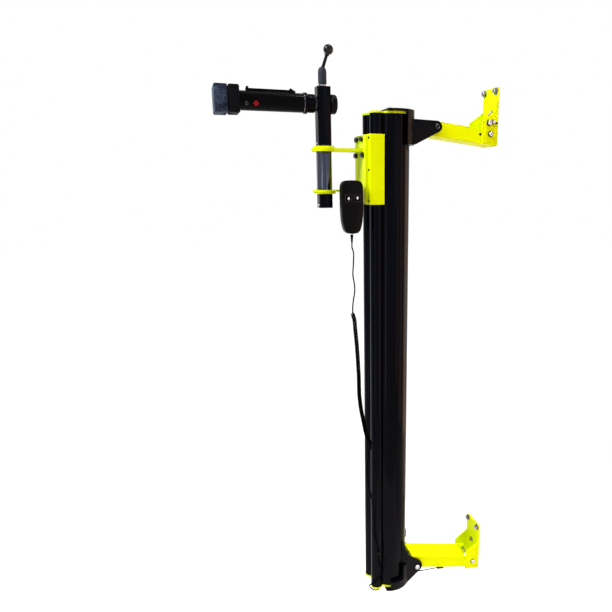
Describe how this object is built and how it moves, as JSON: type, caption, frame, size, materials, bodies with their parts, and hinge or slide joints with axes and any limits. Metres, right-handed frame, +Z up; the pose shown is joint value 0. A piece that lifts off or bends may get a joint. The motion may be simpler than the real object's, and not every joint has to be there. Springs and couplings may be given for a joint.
{
  "type": "wall-mounted electric bike hoist",
  "caption": "Wall-mounted hoist: a powered carriage on an upright column lifts a bicycle by its seat post in a turning jaw clamp, with a wired handset.",
  "frame": {"origin": "back face of the lower wall bracket, on the hoist's middle plane", "axes": "+X into the wall, +Z up along the column, -Y the side with the handset"},
  "size_m": [0.7327, 0.124, 1.5431],
  "materials": {
    "signal_yellow": "satin powder coat",
    "black_anodised": "black anodised, satin",
    "black_casting": "black coated casting",
    "black_steel": "black coated steel, half gloss",
    "black_plastic": "fine grain",
    "black_rubber": "matt",
    "zinc": "zinc plated",
    "bright_steel": "ground",
    "bronze": "turned",
    "nylon": "plain",
    "red_plastic": "gloss"
  },
  "bodies": {
    "frame": {"column_tube": "black_anodised", "column_top_plate": "signal_yellow", "column_bottom_plate": "signal_yellow", "upper_column_holder": "black_casting", "lower_column_holder": "black_casting", "upper_arm": "signal_yellow", "lower_arm": "signal_yellow", "upper_wall_bracket": "signal_yellow", "lower_wall_bracket": "signal_yellow", "upper_wall_bolt_near": "zinc", "upper_wall_bolt_far": "zinc", "lower_wall_bolt_near": "zinc", "lower_wall_bolt_far": "zinc", "upper_flange_bolt": "zinc", "lower_flange_bolt": "zinc", "upper_pivot_bolt": "zinc", "lower_pivot_bolt": "zinc", "motor": "black_steel", "gearbox": "zinc", "lower_screw_bearing": "bronze", "upper_screw_bearing": "bronze", "cord_clip": "black_plastic", "cord_gland": "black_rubber", "supply_lead": "black_rubber", "handset_lead": "black_rubber", "curly_cord": "black_rubber", "base_lead": "black_rubber"},
    "screw": {"lead_screw": "bright_steel"},
    "carriage": {"carriage_sheet": "signal_yellow", "upper_guide_shoe": "nylon", "lower_guide_shoe": "nylon", "drive_nut": "bronze", "drive_bracket": "zinc", "mast_bracket": "signal_yellow", "mast_bolt_upper_near": "black_steel", "mast_bolt_upper_far": "black_steel", "mast_bolt_lower_near": "black_steel", "mast_bolt_lower_far": "black_steel", "upper_bush": "bronze", "lower_bush": "bronze", "handset_front": "black_plastic", "handset_back": "black_plastic", "handset_hook": "zinc", "strain_relief": "black_rubber"},
    "up_button": {"up_key": "black_rubber"},
    "down_button": {"down_key": "black_rubber"},
    "mast": {"mast_post": "black_steel", "mast_foot": "black_steel"},
    "lever": {"lever_hub": "black_steel", "lever_rod": "black_steel", "lever_ball": "black_plastic"},
    "clamp_head": {"clamp_spindle": "zinc", "clamp_collar": "black_steel", "clamp_tube": "black_steel", "inner_jaw": "black_rubber", "clamp_top_bar": "black_steel"},
    "ring": {"lock_ring": "black_steel"},
    "knob": {"rear_knob": "black_plastic"},
    "jaw": {"outer_jaw": "black_rubber"},
    "red_button": {"release_button": "red_plastic"}
  },
  "joints": [
    {"name": "carriage_lift", "type": "slide", "parent": "frame", "child": "carriage", "axis": [0, 0, 1], "range_m": [-0.85, 0], "deforming": ["handset_lead", "curly_cord", "base_lead"]},
    {"name": "screw_turn", "type": "hinge", "parent": "frame", "child": "screw", "pos_m": [-0.295, 0, 0.18], "axis": [0, 0, 1], "continuous": true},
    {"name": "mast_swivel", "type": "hinge", "parent": "carriage", "child": "mast", "pos_m": [-0.473, 0, 1.2698], "axis": [0, 0, 1], "range_deg": [-90, 90]},
    {"name": "lever_turn", "type": "hinge", "parent": "mast", "child": "lever", "pos_m": [-0.473, 0, 1.4098], "axis": [0, 0, 1], "range_deg": [0, 180]},
    {"name": "clamp_spin", "type": "hinge", "parent": "mast", "child": "clamp_head", "pos_m": [-0.473, 0, 1.3698], "axis": [1, 0, 0], "continuous": true},
    {"name": "ring_turn", "type": "hinge", "parent": "clamp_head", "child": "ring", "pos_m": [-0.5036, 0, 1.3698], "axis": [1, 0, 0], "continuous": true},
    {"name": "knob_turn", "type": "hinge", "parent": "clamp_head", "child": "knob", "pos_m": [-0.448, 0, 1.3698], "axis": [1, 0, 0], "continuous": true},
    {"name": "jaw_slide", "type": "slide", "parent": "clamp_head", "child": "jaw", "axis": [-1, 0, 0], "range_m": [0, 0.03]},
    {"name": "red_button_press", "type": "slide", "parent": "clamp_head", "child": "red_button", "axis": [0, 0.9397, 0.342], "range_m": [0, 0.002], "stiffness_N_per_m": 300},
    {"name": "up_button_press", "type": "slide", "parent": "carriage", "child": "up_button", "axis": [0, 1, 0], "range_m": [0, 0.001], "stiffness_N_per_m": 300},
    {"name": "down_button_press", "type": "slide", "parent": "carriage", "child": "down_button", "axis": [0, 1, 0], "range_m": [0, 0.001], "stiffness_N_per_m": 300}
  ],
  "couplings": [
    {"joint": "screw_turn", "follows": "carriage_lift", "rad_per_m": 628.32}
  ]
}
